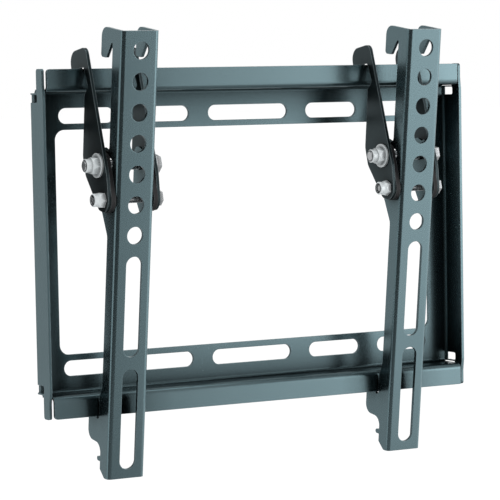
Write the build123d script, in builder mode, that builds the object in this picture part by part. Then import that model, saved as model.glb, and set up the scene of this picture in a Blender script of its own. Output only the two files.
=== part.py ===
from build123d import *
import math
import os

os.makedirs("parts", exist_ok=True)

# Tilting wall mount for a flat screen: one folded wall plate with a rail along its
# top and bottom, and two upright arms, each carried by a pair of levers that hang
# on the top rail. Millimetres. Origin at the middle of the plate's back face,
# +Y into the wall, +Z up. The arms stand at their full forward tilt.

# Wall plate
plate_width = 246.0
plate_sheet = 1.5
plate_bend = 1.5
rail_depth = 16.7
rail_height = 151.6
lip_height = 9.8
flange_height = 148.2
cheek_height = 171.6
cheek_depth = 15.8
cheek_step_depth = 9.0
cheek_nose_depth = 15.0
cheek_corner = 2.0
relief_height = 4.0
relief_rim = 0.7
relief_depth = 9.6
lip_gap = 1.15
lip_shift = -0.45
lip_corner = 1.8
slot_margin = 3.05
slot_height = 7.7
middle_slot = 46.8
side_slot = 31.0
inner_slot_place = 50.0
outer_slot_place = 92.3
window_width = 219.8
window_height = 111.4
window_corner = 5.0

# Arms
arm_pitch = 164.07
arm_centre = -4.2
arm_width = 20.5
arm_sheet = 1.6
arm_bend = 0.5
hole_offset = 0.53
tilt = 6.876
arm_front = 50.2
arm_first_hole = 93.56
arm_above = 9.5
arm_below = 211.6
flange_depth = 9.5
lower_flange_depth = 8.8
right_flange_depth = 7.0
hole_diameter = 8.7
hole_pitch = 15.0
hole_count = 7
upper_slot_place = 125.4
lower_slot_place = 181.7
upper_slot = 50.0
lower_slot = 50.6
hook_depth = 21.4
hook_reach = 4.9
hook_slit = 1.5
ear_depth = 19.6
ear_top = 47.2
ear_bottom = 72.7
heel_depth = 11.3
notch_width = 3.1
notch_bottom = 183.4
prong_top = 176.5
prong_depth = 22.6
tab_bottom = 194.9
nub_place = 203.0
nub_height = 2.3
nub_reach = 3.3

# Levers
lever_sheet = 1.6
lever_angle = 15.3
hang_depth = 15.95
hang_height = 85.7
lever_length = 66.4
lever_offset = 1.4
lock_spacing = 17.2
fold_angle = 10.0
fold_ratio = 1.62

# Friction plates
pad_thickness = 2.3
pad_radius = 6.4
running_gap = 0.1

# Fasteners
lock_shaft = 5.0
pivot_shaft = 4.0
hole_clearance = 0.1
slot_clearance = 0.35
nut_across = 8.0
nut_height = 3.4
nut_collar = 6.8
nut_collar_height = 2.9
lock_end = 0.5
washer_diameter = 12.1
washer_height = 1.0
head_height = 3.5
pivot_nut_across = 7.0
pivot_nut_height = 3.4
pivot_collar = 6.6
pivot_collar_height = 2.3
pivot_end = -0.6
pivot_head_height = 2.8
chamfer_size = 0.4


def draw(corners):
    """Draw a closed outline from corners given as across, up and corner radius."""
    points = [(across, up) for across, up, radius in corners]
    radii = [radius for across, up, radius in corners]
    FilletPolyline(*points, radius=radii, close=True)


# Rail section seen from the end: back, two webs and two lips in one folded strip
half_rail = rail_height / 2
half_web = half_rail - plate_sheet
lip_edge = half_rail + lip_height
lip_back = rail_depth - plate_sheet
outer_bend = plate_bend + plate_sheet
half_plate = plate_width / 2
lip_end = half_plate - plate_sheet - lip_gap
slot_row = window_height / 2 + slot_margin + slot_height / 2
half_flange = flange_height / 2
half_cheek = cheek_height / 2

rail_section = [
    (-lip_back, lip_edge, 0.0),
    (-lip_back, half_rail, plate_bend),
    (0.0, half_rail, outer_bend),
    (0.0, -half_rail, outer_bend),
    (-lip_back, -half_rail, plate_bend),
    (-lip_back, -lip_edge, 0.0),
    (-rail_depth, -lip_edge, 0.0),
    (-rail_depth, -half_web, outer_bend),
    (-plate_sheet, -half_web, plate_bend),
    (-plate_sheet, half_web, plate_bend),
    (-rail_depth, half_web, outer_bend),
    (-rail_depth, lip_edge, 0.0),
]

# Side cheeks seen from the end, stepped behind the rails' lips
upper_cheek = [
    (0.0, half_flange, cheek_corner),
    (-cheek_step_depth, half_flange, 0.0),
    (-cheek_step_depth, half_cheek, 1.5),
    (-cheek_nose_depth, half_cheek, 1.5),
    (-cheek_nose_depth, half_flange + 4.0, 2.0),
    (-cheek_depth, half_flange - 2.0, 2.0),
]
lower_cheek = [(y, -z, radius) for y, z, radius in reversed(upper_cheek)]

with BuildPart() as wall_plate:
    with BuildSketch(Plane.XY.offset(-half_cheek)) as cheek_bends:
        with BuildLine():
            draw([
                (-half_plate, -rail_depth, 0.0),
                (-half_plate, 0.0, outer_bend),
                (half_plate, 0.0, outer_bend),
                (half_plate, -rail_depth, 0.0),
                (half_plate - plate_sheet, -rail_depth, 0.0),
                (half_plate - plate_sheet, -plate_sheet, plate_bend),
                (-half_plate + plate_sheet, -plate_sheet, plate_bend),
                (-half_plate + plate_sheet, -rail_depth, 0.0),
            ])
        make_face()
    extrude(amount=cheek_height)
    with BuildSketch(Plane.YZ.offset(-plate_width)) as cheek_outline:
        with BuildLine():
            draw(upper_cheek + lower_cheek)
        make_face()
    extrude(amount=2 * plate_width, mode=Mode.INTERSECT)
    with BuildSketch(Plane.YZ) as rails:
        with BuildLine():
            draw(rail_section)
        make_face()
    extrude(amount=half_plate - outer_bend, both=True)
    # Webs and lips run on in front of the cheeks' bends, with rounded ends
    with BuildSketch(Plane.YZ.offset(lip_shift - lip_end)) as lips:
        with BuildLine():
            draw(rail_section)
        make_face()
        Rectangle(2 * outer_bend, 2 * lip_edge, mode=Mode.SUBTRACT)
    extrude(amount=2 * lip_end)
    lip_corners = wall_plate.edges().filter_by(Axis.Y).filter_by(
        lambda edge: abs(abs(edge.center().X - lip_shift) - lip_end) < 0.01
        and abs(edge.center().Z) > lip_edge - 0.01
    )
    fillet(lip_corners, radius=lip_corner)
    # Slots for the wall screws, and the window
    with BuildSketch(Plane.XZ) as wall_slots:
        with Locations((0, slot_row), (0, -slot_row)):
            SlotOverall(middle_slot, slot_height)
        with Locations(*[
            (side * place, row)
            for side in (-1, 1)
            for place in (inner_slot_place, outer_slot_place)
            for row in (-slot_row, slot_row)
        ]):
            SlotOverall(side_slot, slot_height)
        RectangleRounded(window_width, window_height, window_corner)
    extrude(amount=2 * plate_sheet, both=True, mode=Mode.SUBTRACT)
    # Relief holes in the cheeks beside the four corners
    relief_middle = half_flange - relief_rim - relief_height / 2
    for cheek_face, inward in ((-half_plate, plate_sheet), (half_plate, -plate_sheet)):
        with BuildSketch(Plane.YZ.offset(cheek_face)) as reliefs:
            with Locations((-relief_depth / 2, relief_middle), (-relief_depth / 2, -relief_middle)):
                RectangleRounded(relief_depth, relief_height, 0.9)
        extrude(amount=inward, mode=Mode.SUBTRACT)

wall_plate.part.label = "wall_plate"
export_step(wall_plate.part, "parts/wall_plate.step")

# Tilted frame of the arms
cos_tilt = math.cos(math.radians(tilt))
sin_tilt = math.sin(math.radians(tilt))
cos_lever = math.cos(math.radians(lever_angle))
sin_lever = math.sin(math.radians(lever_angle))

# Pivot and lock bolt, measured from the hanging edge of the top lip
pivot_y = -hang_depth - lever_length * sin_lever - lever_offset * cos_lever
pivot_z = hang_height - lever_length * cos_lever + lever_offset * sin_lever
lock_y = pivot_y + lock_spacing * sin_lever
lock_z = pivot_z + lock_spacing * cos_lever


def in_arm(y, z):
    """Depth behind the arm's face, and height above its first hole."""
    back = y + arm_front
    up = z - arm_first_hole
    return back * cos_tilt + up * sin_tilt, up * cos_tilt - back * sin_tilt


pivot_in_arm = in_arm(pivot_y, pivot_z)
lock_in_arm = in_arm(lock_y, lock_z)
lock_turn = math.degrees(math.atan2(
    lock_in_arm[1] - pivot_in_arm[1], lock_in_arm[0] - pivot_in_arm[0]
))
fold_turn = fold_angle * fold_ratio

# Side outline of an arm's flanges: depth behind the face, height above hole one
outer_arm_bend = arm_bend + arm_sheet
notch_back = heel_depth + notch_width
slit_back = flange_depth + hook_slit
channel_depth = prong_depth + hook_depth
flange_outline = [
    (0.0, arm_above, 0.0),
    (hook_depth, arm_above + 0.5, 5.0),
    (hook_depth, -hook_reach, 1.8),
    (slit_back + 5.0, -hook_reach, 1.2),
    (slit_back, 2.8, 0.0),
    (flange_depth, 2.8, 0.0),
    (flange_depth, -ear_top - 3.0, 2.2),
    (ear_depth, -ear_top, 4.0),
    (ear_depth, -ear_bottom, 8.0),
    (lower_flange_depth, -ear_bottom - 18.5, 5.0),
    (lower_flange_depth, -prong_top + 10.5, 5.0),
    (heel_depth, -prong_top + 4.5, 5.0),
    (heel_depth, -notch_bottom, 1.5),
    (notch_back, -notch_bottom, 1.5),
    (notch_back, -prong_top, 2.5),
    (prong_depth, -prong_top, 4.0),
    (prong_depth, -tab_bottom, 5.0),
    (lower_flange_depth, -tab_bottom - 0.4, 5.0),
    (lower_flange_depth, -nub_place + nub_height / 2, 0.0),
    (lower_flange_depth + nub_reach, -nub_place + nub_height / 2, 1.1),
    (lower_flange_depth + nub_reach, -nub_place - nub_height / 2, 1.1),
    (lower_flange_depth, -nub_place - nub_height / 2, 0.0),
    (lower_flange_depth, -arm_below + 3.6, 0.0),
    (4.0, -arm_below, 0.0),
    (0.0, -arm_below, 0.0),
]

# The right flange is shallower, and ends below its ear without prong and nub
hook_trim = [
    (right_flange_depth, 2.8, 0.0),
    (slit_back, 2.8, 0.0),
    (slit_back, -ear_top - 1.0, 0.0),
    (right_flange_depth, -ear_top - 3.5, 1.5),
]
prong_trim = [
    (prong_depth + 1.0, -ear_bottom + 8.0, 0.0),
    (right_flange_depth + 0.5, -ear_bottom - 14.0, 4.0),
    (right_flange_depth + 0.5, -arm_below - 1.0, 0.0),
    (prong_depth + 1.0, -arm_below - 1.0, 0.0),
]

# Side outline of a lever: towards the front, and down from the hanging edge
lever_outline = [
    (5.9, -9.3, 4.0),
    (7.4, 24.0, 30.0),
    (8.9, 56.0, 14.0),
    (6.6, lever_length + 3.6, 5.0),
    (1.6, lever_length + 6.8, 5.0),
    (-4.4, lever_length + 3.8, 4.0),
    (-13.3, 50.5, 6.0),
    (-13.2, 41.0, 6.0),
    (-1.9, 12.7, 0.0),
    (3.1, 9.9, 1.5),
    (1.1, -0.2, 0.0),
    (-3.3, -1.2, 0.0),
    (-5.2, 5.5, 1.5),
    (-12.8, 4.5, 2.5),
    (-11.5, -11.3, 6.0),
]

pad_gap = pad_thickness + running_gap
half_arm = arm_width / 2
lever_inside = half_arm + pad_gap
lever_outside = lever_inside + lever_sheet

for side, middle, nut_turn in (
    ("left", arm_centre - arm_pitch / 2 - hole_offset, 5),
    ("right", arm_centre + arm_pitch / 2 - hole_offset, 28),
):
    hole_line = middle + hole_offset
    arm_side = Plane(
        origin=(middle, -arm_front, arm_first_hole),
        x_dir=(0, cos_tilt, sin_tilt), z_dir=(1, 0, 0),
    )
    arm_section = Plane(
        origin=(middle, -arm_front, arm_first_hole),
        x_dir=(1, 0, 0), z_dir=(0, -sin_tilt, cos_tilt),
    )
    arm_face = Plane(
        origin=(hole_line, -arm_front, arm_first_hole),
        x_dir=(1, 0, 0), z_dir=(0, -cos_tilt, -sin_tilt),
    )
    lever_side = Plane(
        origin=(middle, -hang_depth, hang_height),
        x_dir=(0, -cos_lever, sin_lever), z_dir=(1, 0, 0),
    )
    lock_axis = Plane(origin=(middle, lock_y, lock_z), x_dir=(0, 1, 0), z_dir=(1, 0, 0))
    pivot_axis = Plane(origin=(middle, pivot_y, pivot_z), x_dir=(0, 1, 0), z_dir=(1, 0, 0))

    # Arm: a channel folded from one sheet
    with BuildPart() as arm:
        with BuildSketch(arm_section.offset(-arm_below - 5)) as channel:
            with BuildLine():
                draw([
                    (-half_arm, 0.0, outer_arm_bend),
                    (half_arm, 0.0, outer_arm_bend),
                    (half_arm, channel_depth, 0.0),
                    (half_arm - arm_sheet, channel_depth, 0.0),
                    (half_arm - arm_sheet, arm_sheet, arm_bend),
                    (-half_arm + arm_sheet, arm_sheet, arm_bend),
                    (-half_arm + arm_sheet, channel_depth, 0.0),
                    (-half_arm, channel_depth, 0.0),
                ])
            make_face()
        extrude(amount=arm_above + arm_below + 10)
        with BuildSketch(arm_side.offset(-arm_width)) as flanges:
            with BuildLine():
                draw(flange_outline)
            make_face()
        extrude(amount=2 * arm_width, mode=Mode.INTERSECT)
        with BuildSketch(arm_side) as right_flange:
            with BuildLine():
                draw(hook_trim)
            make_face()
            with BuildLine():
                draw(prong_trim)
            make_face()
        extrude(amount=arm_width, mode=Mode.SUBTRACT)
        # Screen holes and slots in the face
        with BuildSketch(arm_face) as face_holes:
            with Locations(*[(0, -hole_pitch * step) for step in range(hole_count)]):
                Circle(hole_diameter / 2)
            with Locations((0, -upper_slot_place)):
                SlotOverall(upper_slot, hole_diameter, rotation=90)
            with Locations((0, -lower_slot_place)):
                SlotOverall(lower_slot, hole_diameter, rotation=90)
        extrude(amount=arm_sheet + arm_bend, both=True, mode=Mode.SUBTRACT)
        # Pivot holes and the curved slots that the lock bolt runs in
        with BuildSketch(arm_side) as pivot_holes:
            with Locations(pivot_in_arm):
                Circle(pivot_shaft / 2 + hole_clearance)
            with BuildLine(mode=Mode.PRIVATE) as lock_path:
                CenterArc(pivot_in_arm, lock_spacing, lock_turn - 1, fold_turn + 2)
            SlotArc(lock_path.edges()[0], height=lock_shaft + 2 * slot_clearance)
        extrude(amount=arm_width, both=True, mode=Mode.SUBTRACT)
    arm.part.label = side + "_arm"
    export_step(arm.part, "parts/" + side + "_arm.step")

    # Lever and friction plate on each flank of the arm
    for flank, inner, outer in (
        ("outer" if side == "left" else "inner", -lever_inside, -lever_outside),
        ("inner" if side == "left" else "outer", lever_inside, lever_outside),
    ):
        with BuildPart() as lever:
            with BuildSketch(lever_side.offset(min(inner, outer))) as blank:
                with BuildLine():
                    draw(lever_outline)
                make_face()
                with Locations((lever_offset, lever_length)):
                    Circle(pivot_shaft / 2 + hole_clearance, mode=Mode.SUBTRACT)
                with Locations((lever_offset, lever_length - lock_spacing)):
                    Circle(lock_shaft / 2 + hole_clearance, mode=Mode.SUBTRACT)
            extrude(amount=lever_sheet)
        lever.part.label = side + "_" + flank + "_lever"
        export_step(lever.part, "parts/" + lever.part.label + ".step")

        pad_start = inner - pad_thickness if inner > 0 else inner
        with BuildPart() as pad:
            with BuildSketch(lever_side.offset(pad_start)) as pad_blank:
                with Locations((lever_offset, lever_length - lock_spacing / 2)):
                    SlotCenterToCenter(lock_spacing, 2 * pad_radius, rotation=90)
                with Locations((lever_offset, lever_length)):
                    Circle(pivot_shaft / 2 + hole_clearance, mode=Mode.SUBTRACT)
                with Locations((lever_offset, lever_length - lock_spacing)):
                    Circle(lock_shaft / 2 + hole_clearance, mode=Mode.SUBTRACT)
            extrude(amount=pad_thickness)
        pad.part.label = side + "_" + flank + "_friction_plate"
        export_step(pad.part, "parts/" + pad.part.label + ".step")

        # Washer under the lock bolt's head or nut
        washer_start = outer if outer > 0 else outer - washer_height
        with BuildPart() as washer:
            with BuildSketch(lock_axis.offset(washer_start)) as ring:
                Circle(washer_diameter / 2)
                Circle(lock_shaft / 2 + hole_clearance, mode=Mode.SUBTRACT)
            extrude(amount=washer_height)
        washer.part.label = side + "_" + flank + "_washer"
        export_step(washer.part, "parts/" + washer.part.label + ".step")

    # Bolts: hexagon head on the +X flank, end standing in the nut's collar
    lock_seat = lever_outside + washer_height
    for name, axis, seat, shaft, across, head, height, collar, collar_height, end in (
        ("lock", lock_axis, lock_seat, lock_shaft, nut_across, head_height,
         nut_height, nut_collar, nut_collar_height, lock_end),
        ("pivot", pivot_axis, lever_outside, pivot_shaft, pivot_nut_across, pivot_head_height,
         pivot_nut_height, pivot_collar, pivot_collar_height, pivot_end),
    ):
        collar_end = -seat - height - collar_height
        with BuildPart() as bolt:
            with BuildSketch(axis.offset(collar_end - end)) as bolt_round:
                Circle(shaft / 2)
            extrude(amount=seat - collar_end + end)
            with BuildSketch(axis.offset(seat)) as bolt_head:
                RegularPolygon(across / 2, 6, major_radius=False, rotation=15)
            extrude(amount=head)
            end_rim = bolt.edges().filter_by(GeomType.CIRCLE).sort_by(Axis.X)[0]
            chamfer(end_rim, length=chamfer_size)
        bolt.part.label = side + "_" + name + "_bolt"
        export_step(bolt.part, "parts/" + bolt.part.label + ".step")

        # Nut: a hexagon with chamfered corners and a round locking collar
        with BuildPart() as nut:
            with BuildSketch(axis.offset(-seat - height)) as hexagon:
                RegularPolygon(across / 2, 6, major_radius=False, rotation=nut_turn)
            extrude(amount=height)
            with BuildSketch(axis.offset(-seat)) as turned:
                Circle(across / 2 * 1.19)
            extrude(amount=-height, taper=14, mode=Mode.INTERSECT)
            with BuildSketch(axis.offset(collar_end)) as collar_round:
                Circle(collar / 2)
            extrude(amount=collar_height)
            collar_rim = nut.edges().filter_by(GeomType.CIRCLE).sort_by(Axis.X)[0]
            chamfer(collar_rim, length=chamfer_size)
            with BuildSketch(axis.offset(collar_end)) as bore:
                Circle(shaft / 2 + hole_clearance / 2)
            extrude(amount=height + collar_height, mode=Mode.SUBTRACT)
        nut.part.label = side + "_" + name + "_nut"
        export_step(nut.part, "parts/" + nut.part.label + ".step")

print("pivot", round(pivot_y, 3), round(pivot_z, 3))
print("lock", round(lock_y, 3), round(lock_z, 3))
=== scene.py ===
import math

import bpy
from mathutils import Matrix, Vector


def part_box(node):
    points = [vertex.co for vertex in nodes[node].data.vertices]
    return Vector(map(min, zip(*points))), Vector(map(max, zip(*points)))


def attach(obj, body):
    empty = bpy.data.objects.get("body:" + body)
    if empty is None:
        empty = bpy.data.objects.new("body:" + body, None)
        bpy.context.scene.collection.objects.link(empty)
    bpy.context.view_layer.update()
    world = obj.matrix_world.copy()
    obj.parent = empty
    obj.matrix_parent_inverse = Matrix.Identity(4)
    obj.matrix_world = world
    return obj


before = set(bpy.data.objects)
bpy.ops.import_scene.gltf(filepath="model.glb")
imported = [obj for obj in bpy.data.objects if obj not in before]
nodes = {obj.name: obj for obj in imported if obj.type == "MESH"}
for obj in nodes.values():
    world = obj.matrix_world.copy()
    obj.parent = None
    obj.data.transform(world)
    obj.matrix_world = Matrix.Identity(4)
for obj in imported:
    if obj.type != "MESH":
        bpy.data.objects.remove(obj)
scene = bpy.context.scene
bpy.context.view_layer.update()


# Shader sums, written as plain Python

class Wire:
    """A node's output that can be added, multiplied and so on."""

    def __init__(self, finish, socket):
        self.finish = finish
        self.socket = socket

    def sum(self, operation, *terms):
        """A Math node over one or two terms."""
        return self.finish.make(
            "ShaderNodeMath", {"operation": operation}, dict(enumerate(terms)), "Value"
        )

    def __add__(self, other):
        return self.sum("ADD", self, other)

    def __sub__(self, other):
        return self.sum("SUBTRACT", self, other)

    def __rsub__(self, other):
        return self.sum("SUBTRACT", other, self)

    def __mul__(self, other):
        return self.sum("MULTIPLY", self, other)

    def __truediv__(self, other):
        return self.sum("DIVIDE", self, other)

    def __rtruediv__(self, other):
        return self.sum("DIVIDE", other, self)

    def root(self):
        return self.sum("SQRT", self)

    def size(self):
        return self.sum("ABSOLUTE", self)

    __radd__ = __add__
    __rmul__ = __mul__


class Finish:
    """One procedural material or world, with a single way to make its nodes."""

    def __init__(self, name, owner=None):
        self.owner = owner or bpy.data.materials.new(name)
        self.owner.use_nodes = True
        self.tree = self.owner.node_tree
        self.tree.nodes.clear()

    def make(self, kind, settings, inputs, out=None):
        """A node with its settings and inputs: the named output, or the node itself."""
        node = self.tree.nodes.new(kind)
        for name, value in settings.items():
            setattr(node, name, value)
        for name, value in inputs.items():
            socket = node.inputs[name]
            if isinstance(value, Wire):
                self.tree.links.new(value.socket, socket)
            else:
                socket.default_value = value
        return Wire(self, node.outputs[out]) if out else node

    def noise(self, scale, detail=2.0):
        """Cloudy noise that stays with the piece, with its scale per metre."""
        place = self.make("ShaderNodeTexCoord", {}, {}, "Object")
        return self.make(
            "ShaderNodeTexNoise", {},
            {"Vector": place, "Scale": scale, "Detail": detail}, "Fac"
        )

    def ramp_down(self, value, edge, low):
        """One before the edge, a low level behind it, and smooth between."""
        return self.make(
            "ShaderNodeMapRange", {"interpolation_type": "SMOOTHSTEP"},
            {"Value": value, "From Min": edge[0], "From Max": edge[1],
             "To Min": 1.0, "To Max": low},
            "Result"
        )

    def rounded(self, radius, samples):
        """The surface's direction with its sharp edges rounded over."""
        return self.make("ShaderNodeBevel", {"samples": samples}, {"Radius": radius}, "Normal")

    def edges(self, radius, gain):
        """One along the sharp edges and nothing on the flats."""
        round_over = self.rounded(radius, 6)
        flat = self.make("ShaderNodeNewGeometry", {}, {}, "True Normal")
        turn = self.make(
            "ShaderNodeVectorMath", {"operation": "DOT_PRODUCT"}, {0: round_over, 1: flat}, "Value"
        )
        return self.make("ShaderNodeClamp", {}, {"Value": (1.0 - turn) * gain}, "Result")

    def gap_shade_mask(self, reach):
        """One in the open, and less in gaps narrower than the reach: the mask for painted shade in
        gaps.
        """
        air = self.make("ShaderNodeAmbientOcclusion", {"samples": 8}, {"Distance": reach}, "AO")
        return air * air

    def blend(self, factor, first, second):
        """From the first colour at nothing to the second at one."""
        return self.make(
            "ShaderNodeMix", {"data_type": "RGBA"},
            {"Factor": factor, "A": first, "B": second}, "Result"
        )

    def relief(self, height, strength, depth, radius=None):
        """Fine relief in the surface, over rounded edges where a radius is given."""
        inputs = {"Strength": strength, "Distance": depth, "Height": height}
        if radius:
            inputs["Normal"] = self.rounded(radius, 4)
        return self.make("ShaderNodeBump", {}, inputs, "Normal")

    def surface(self, inputs):
        """Closes the material with one shader and hands it over."""
        shader = self.make("ShaderNodeBsdfPrincipled", {}, inputs, "BSDF")
        self.make("ShaderNodeOutputMaterial", {}, {"Surface": shader})
        return self.owner


def grey(level):
    return (level, level, level, 1.0)


def scaled(colour, factor):
    return tuple(factor * part for part in colour[:3]) + (1.0,)


# Noise scales per metre: slow clouds and stains, then finer and finer grain
cloud_scale = 24.0
stain_scale = 380.0
peel_scale = 520.0
speck_scale = 1500.0
plastic_scale = 1800.0
mark_scale = 2600.0

# Painted edge highlights: how wide the lighter edge is, and how strongly it shows
coat_highlight_width, coat_gain = 0.0004, 5.0
zinc_highlight_width, zinc_gain = 0.0005, 8.0


def powder_coat(name, colour, deep, rim, roughness, metallic, grain, reach):
    """Baked metallic powder coat over fine orange peel, with painted shade in gaps within its
    reach and painted highlights along its edges.
    """
    finish = Finish(name)
    cloud = finish.noise(cloud_scale, 3.0)
    speck = finish.noise(speck_scale)
    peel = finish.noise(peel_scale)
    # Painted highlight: a mask along the sharp edges, used below for a paler colour and less metal
    # sheen.
    edge_highlight = finish.edges(coat_highlight_width, coat_gain)
    tone = finish.blend(cloud * 0.7 + speck * 0.5 - 0.1, deep, colour)
    # Painted shade: the colour falls almost to black in gaps, standing for the shadow there.
    tone = finish.blend(finish.gap_shade_mask(reach), scaled(deep, 0.03), tone)
    # Painted highlight: the sharp edges take the paler rim colour.
    tone = finish.blend(edge_highlight, tone, rim)
    height = peel * 0.7 + speck * 0.3
    return finish.surface({
        "Base Color": tone,
        "Roughness": cloud * 0.06 + speck * 0.05 + (roughness - 0.05),
        # Painted highlight: the sharp edges also lose most of their metal sheen, so the paler rim
        # shows.
        "Metallic": (1.0 - edge_highlight * 0.8) * metallic,
        "Normal": finish.relief(height, grain, depth=0.0004, radius=0.00035),
    })


def zinc_plate(name, colour, metallic, roughness):
    """Bright zinc plating: fine turning marks, with painted highlights on the edges and painted
    shade in the gaps.
    """
    finish = Finish(name)
    stain = finish.noise(stain_scale, 3.0)
    marks = finish.noise(mark_scale)
    tone = finish.blend(stain, colour, scaled(colour, 0.88))
    # Painted shade: nearly black in the gaps.
    tone = finish.blend(finish.gap_shade_mask(0.0030), scaled(colour, 0.02), tone)
    # Painted highlight: slightly lighter along the sharp edges.
    tone = finish.blend(finish.edges(zinc_highlight_width, zinc_gain), tone, scaled(colour, 1.02))
    return finish.surface({
        "Base Color": tone,
        "Metallic": metallic,
        "Roughness": stain * 0.12 + (roughness - 0.06),
        "Normal": finish.relief(marks, 0.12, depth=0.0002, radius=0.0002),
    })


def black_plastic(name, colour, rim):
    """Matt moulded plastic, with a painted highlight as a paler rim along its edges."""
    finish = Finish(name)
    grain = finish.noise(plastic_scale)
    tone = finish.blend(grain, colour, scaled(colour, 2.0))
    # Painted highlight: a paler rim along the sharp edges.
    tone = finish.blend(finish.edges(coat_highlight_width, coat_gain), tone, rim)
    return finish.surface({
        "Base Color": tone,
        "Roughness": grain * 0.1 + 0.5,
        "Normal": finish.relief(grain, 0.1, depth=0.0003),
    })


slate = (0.232, 0.342, 0.372, 1)
deep_slate = (0.194, 0.290, 0.318, 1)
rim = (0.240, 0.330, 0.360, 1)
dark_slate = (0.072, 0.100, 0.108, 1)
deep_dark_slate = (0.052, 0.074, 0.080, 1)
dark_rim = (0.300, 0.370, 0.390, 1)
plate_coat = powder_coat(
    "plate_coat", slate, deep_slate, rim, roughness=0.25, metallic=0.97, grain=0.006, reach=0.023
)
arm_coat = powder_coat(
    "arm_coat", slate, deep_slate, rim, roughness=0.26, metallic=0.97, grain=0.003, reach=0.016
)
lever_coat = powder_coat(
    "lever_coat", dark_slate, deep_dark_slate, dark_rim,
    roughness=0.34, metallic=0.9, grain=0.02, reach=0.010
)
nut_zinc = zinc_plate("nut_zinc", (0.90, 0.96, 0.98, 1), metallic=0.22, roughness=0.14)
bolt_zinc = zinc_plate("bolt_zinc", (0.90, 0.93, 0.95, 1), metallic=0.85, roughness=0.22)
friction_plastic = black_plastic(
    "friction_plastic", (0.012, 0.012, 0.013, 1), rim=(0.10, 0.12, 0.125, 1)
)
# Painted shade: the near-black finish of the thin rings that stand for the shadow gap in the nuts'
# collars.
shadow_ring_plastic = black_plastic("shadow_ring_plastic", (0.010, 0.013, 0.016, 1), rim=(0.02, 0.025, 0.03, 1))

# Nuts and washers take the finish that is left
coats = {
    "wall_plate": plate_coat, "_arm": arm_coat, "_lever": lever_coat,
    "_friction_plate": friction_plastic, "_bolt": bolt_zinc,
}
for name, node in nodes.items():
    coat = next((coat for ending, coat in coats.items() if name.endswith(ending)), nut_zinc)
    node.data.materials.clear()
    node.data.materials.append(coat)


# Thin dark rings on the nuts' collar ends as painted shade for the gap round the bolt ends, and
# the bolts' threads between the flanges

ring_rise = 0.00004
ring_steps = 48
thread_length = 0.0156
ridge_share = 0.22
bolts = {
    "lock": {"ring": (0.00252, 0.00288), "radius": 0.0025, "pitch": 0.0008},
    "pivot": {"ring": (0.00206, 0.00262), "radius": 0.0020, "pitch": 0.0007},
}


def add_piece(name, mesh, body, coat):
    """A mesh as a piece of its own, in its finish, that moves with a body."""
    piece = bpy.data.objects.new(name, mesh)
    scene.collection.objects.link(piece)
    mesh.materials.clear()
    mesh.materials.append(coat)
    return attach(piece, body)


def ring_mesh(name, rings):
    """Flat-topped rings round axes along X: (centre, inner and outer radius, rise) each."""
    points, faces = [], []
    for (x, y, z), inner, outer, rise in rings:
        start = len(points)
        for step in range(ring_steps):
            turn = 2 * math.pi * step / ring_steps
            for radius, height in ((inner, 0.0), (inner, rise), (outer, rise), (outer, 0.0)):
                points.append(
                    (x - height, y + radius * math.cos(turn), z + radius * math.sin(turn))
                )
        for step in range(ring_steps):
            here, there = start + 4 * step, start + 4 * ((step + 1) % ring_steps)
            for corner in range(4):
                other = (corner + 1) % 4
                faces.append((here + corner, there + corner, there + other, here + other))
    mesh = bpy.data.meshes.new(name)
    mesh.from_pydata(points, [], faces)
    mesh.validate()
    mesh.update()
    return mesh


def thread_tree():
    """A thread's ridge wound round an axis along X, with its sizes as inputs."""
    tree = bpy.data.node_groups.new("thread", "GeometryNodeTree")
    tree.interface.new_socket("Geometry", in_out="OUTPUT", socket_type="NodeSocketGeometry")
    ports = {}
    for name, kind in (
        ("Radius", "NodeSocketFloat"), ("Pitch", "NodeSocketFloat"), ("Length", "NodeSocketFloat"),
        ("Start", "NodeSocketVector"), ("Material", "NodeSocketMaterial"),
    ):
        ports[name] = tree.interface.new_socket(name, in_out="INPUT", socket_type=kind)
    given = tree.nodes.new("NodeGroupInput")
    radius, pitch, length, start, material = (given.outputs[name] for name in ports)

    def add(kind, settings, inputs, out):
        node = tree.nodes.new(kind)
        for name, value in settings.items():
            setattr(node, name, value)
        for name, value in inputs.items():
            if isinstance(value, bpy.types.NodeSocket):
                tree.links.new(value, node.inputs[name])
            else:
                node.inputs[name].default_value = value
        return node.outputs[out]

    turns = add("ShaderNodeMath", {"operation": "DIVIDE"}, {0: length, 1: pitch}, "Value")
    ridge = add("ShaderNodeMath", {"operation": "MULTIPLY"}, {0: pitch, 1: ridge_share}, "Value")
    helix = add("GeometryNodeCurveSpiral", {}, {
        "Resolution": 28, "Rotations": turns, "Height": length,
        "Start Radius": radius, "End Radius": radius,
    }, "Curve")
    profile = add(
        "GeometryNodeCurvePrimitiveCircle", {}, {"Resolution": 4, "Radius": ridge}, "Curve"
    )
    thread = add(
        "GeometryNodeCurveToMesh", {},
        {"Curve": helix, "Profile Curve": profile, "Fill Caps": True}, "Mesh"
    )
    placed = add(
        "GeometryNodeTransform", {},
        {"Geometry": thread, "Rotation": (0, math.pi / 2, 0), "Translation": start}, "Geometry"
    )
    real = add("GeometryNodeRealizeInstances", {}, {"Geometry": placed}, "Geometry")
    shown = add(
        "GeometryNodeSetMaterial", {}, {"Geometry": real, "Material": material}, "Geometry"
    )
    result = tree.nodes.new("NodeGroupOutput")
    tree.links.new(shown, result.inputs[0])
    return tree, ports


def thread_mesh(name, tree, ports, values):
    """The thread worked out once from its inputs and kept as a plain mesh."""
    maker = bpy.data.objects.new(name + "_maker", bpy.data.meshes.new(name + "_maker"))
    scene.collection.objects.link(maker)
    step = maker.modifiers.new("thread", "NODES")
    step.node_group = tree
    for key, value in values.items():
        step[ports[key].identifier] = value
    maker.update_tag()
    depsgraph = bpy.context.evaluated_depsgraph_get()
    mesh = bpy.data.meshes.new_from_object(maker.evaluated_get(depsgraph))
    mesh.name = name
    bpy.data.objects.remove(maker)
    return mesh


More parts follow.
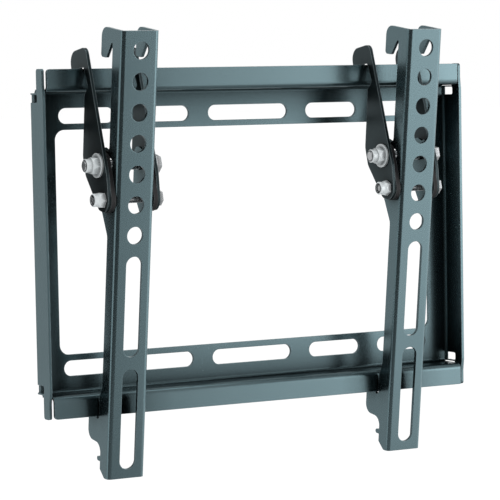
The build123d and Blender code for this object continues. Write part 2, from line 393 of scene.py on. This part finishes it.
def collar_end(nut):
    """The middle of a nut's outer end, where its collar closes on the thread."""
    low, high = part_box(nut)
    return (low[0], (low[1] + high[1]) / 2, (low[2] + high[2]) / 2)


tree, ports = thread_tree()
for side in ("left", "right"):
    ends = {bolt: collar_end(side + "_" + bolt + "_nut") for bolt in bolts}
    # Painted shade: a thin dark ring on each collar's end stands for the shadow gap round the bolt
    # end.
    rings = ring_mesh(
        side + "_shadow_gap_rings",
        [(ends[bolt], *sizes["ring"], ring_rise) for bolt, sizes in bolts.items()]
    )
    add_piece(side + "_shadow_gap_rings", rings, side + "_levers", shadow_ring_plastic)
    low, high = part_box(side + "_arm")
    middle = (low[0] + high[0]) / 2
    for bolt, sizes in bolts.items():
        name = side + "_" + bolt + "_thread"
        mesh = thread_mesh(name, tree, ports, {
            "Radius": sizes["radius"], "Pitch": sizes["pitch"], "Length": thread_length,
            "Start": (middle - thread_length / 2, *ends[bolt][1:]), "Material": bolt_zinc,
        })
        add_piece(name, mesh, side + "_levers", bolt_zinc)


# Studio: a white wall all round, dark on the camera's side, dimmer behind the mount
# and towards the ceiling and the floor. The sides are directions in plan, and an edge
# is how closely a direction has to face its side before the wall darkens.

dark_side = (-0.469, -0.883)
dark_lean = 0.20
dark_edge = (0.50, 0.62)
dark_level = 0.06
dim_side = (-0.490, 0.872)
dim_edge = (0.45, 0.90)
dim_level = 0.46
wall_height = (0.26, 0.62)
ceiling_level = 0.32
even_light = 0.95
floor_sheen = 0.95
floor_glow = 1.06
floor_glow_share = 0.92
floor_height = -0.32
floor_reach = 30
above_zero = 0.000001


def studio_level(finish, place):
    """Brightness of the room in the direction of a place seen from the mount."""
    split = finish.make("ShaderNodeSeparateXYZ", {}, {"Vector": place})
    x, y, z = (Wire(finish, split.outputs[axis]) for axis in "XYZ")
    level = x * x + y * y + above_zero
    dark = (x * dark_side[0] + y * dark_side[1] + z * dark_lean) / level.root()
    dim = (x * dim_side[0] + y * dim_side[1]) / level.root()
    slope = (z / (level + z * z).root()).size()
    side = (
        finish.ramp_down(dark, dark_edge, dark_level) * finish.ramp_down(dim, dim_edge, dim_level)
    )
    wall = finish.ramp_down(slope, wall_height, 0.0)
    return side * wall + (1.0 - wall) * ceiling_level


def white_floor():
    """White to the camera under a faint shadow, and the studio's light in reflections."""
    finish = Finish("white_floor")
    camera = finish.make("ShaderNodeLightPath", {}, {}, "Is Camera Ray")
    glossy = finish.make("ShaderNodeLightPath", {}, {}, "Is Glossy Ray")
    place = finish.make("ShaderNodeTexCoord", {}, {}, "Object")
    matt = finish.make("ShaderNodeBsdfDiffuse", {}, {"Color": grey(0.9)}, "BSDF")
    glow = finish.make(
        "ShaderNodeEmission", {}, {"Color": grey(1.0), "Strength": floor_glow}, "Emission"
    )
    sheen = finish.make(
        "ShaderNodeEmission", {},
        {"Color": studio_level(finish, place), "Strength": floor_sheen}, "Emission"
    )
    seen = finish.make(
        "ShaderNodeMixShader", {}, {0: camera * floor_glow_share, 1: matt, 2: glow}, "Shader"
    )
    mix = finish.make("ShaderNodeMixShader", {}, {0: glossy, 1: seen, 2: sheen}, "Shader")
    finish.make("ShaderNodeOutputMaterial", {}, {"Surface": mix})
    return finish.owner


floor_mesh = bpy.data.meshes.new("floor")
floor_mesh.from_pydata(
    [(x * floor_reach, y * floor_reach, floor_height)
     for x, y in ((-1, -1), (1, -1), (1, 1), (-1, 1))],
    [], [(0, 1, 2, 3)]
)
floor = bpy.data.objects.new("floor", floor_mesh)
scene.collection.objects.link(floor)
floor.data.materials.append(white_floor())

# The room: white to the camera, even on matt surfaces, and the studio in reflections
world = bpy.data.worlds.new("room")
scene.world = world
room = Finish("room", world)
camera_ray = room.make("ShaderNodeLightPath", {}, {}, "Is Camera Ray")
diffuse_ray = room.make("ShaderNodeLightPath", {}, {}, "Is Diffuse Ray")
direction = room.make("ShaderNodeTexCoord", {}, {}, "Generated")
studio, even, white = (
    room.make("ShaderNodeBackground", {}, {"Color": colour, "Strength": strength}, "Background")
    for colour, strength in (
        (studio_level(room, direction), 1.0), (grey(1.0), even_light), (grey(1.0), 1.0)
    )
)
unseen = room.make("ShaderNodeMixShader", {}, {0: diffuse_ray, 1: studio, 2: even}, "Shader")
both = room.make("ShaderNodeMixShader", {}, {0: camera_ray, 1: unseen, 2: white}, "Shader")
room.make("ShaderNodeOutputWorld", {}, {"Surface": both})


def soft_box(name, place, side, watts):
    """A studio lamp: a lit square at a place, turned towards the mount."""
    lamp = bpy.data.lights.new(name, "AREA")
    lamp.shape = "RECTANGLE"
    lamp.size = side
    lamp.size_y = side
    lamp.energy = watts
    piece = bpy.data.objects.new(name, lamp)
    scene.collection.objects.link(piece)
    place = Vector(place)
    piece.matrix_world = (
        Matrix.Translation(place) @ (-place).to_track_quat("-Z", "Y").to_matrix().to_4x4()
    )


soft_box("front_right", (1.9, -1.7, 0.3), side=1.2, watts=6)
soft_box("top", (0.4, -0.3, 1.8), side=1.0, watts=3)


# Camera at the photograph's view

photo_pixels = 500
film_width = 36


def aim_camera(place, yaw, pitch, roll, focal_pixels, centre):
    """A camera at a place, turned by angles in degrees, with its lens in pixels."""
    yaw, pitch, roll = (math.radians(value) for value in (yaw, pitch, roll))
    forward = Vector(
        (math.sin(yaw) * math.cos(pitch), math.cos(yaw) * math.cos(pitch), -math.sin(pitch))
    )
    right = Vector((math.cos(yaw), -math.sin(yaw), 0))
    up = right.cross(forward)
    right, up = (
        right * math.cos(roll) + up * math.sin(roll),
        up * math.cos(roll) - right * math.sin(roll),
    )
    camera = bpy.data.cameras.new("camera")
    camera.sensor_width = film_width
    camera.lens = focal_pixels / photo_pixels * film_width
    camera.shift_x = (photo_pixels / 2 - centre[0]) / photo_pixels
    camera.shift_y = (centre[1] - photo_pixels / 2) / photo_pixels
    camera.clip_end = 100
    piece = bpy.data.objects.new("camera", camera)
    scene.collection.objects.link(piece)
    turn = Matrix((right, up, -forward)).transposed().to_4x4()
    piece.matrix_world = Matrix.Translation(Vector(place)) @ turn
    return piece


scene.camera = aim_camera(
    (-0.6587, -1.1453, 0.0762), yaw=30.0, pitch=4.599, roll=-1.030,
    focal_pixels=2563.8, centre=(253.9, 291.2)
)

scene.view_settings.view_transform = "Standard"
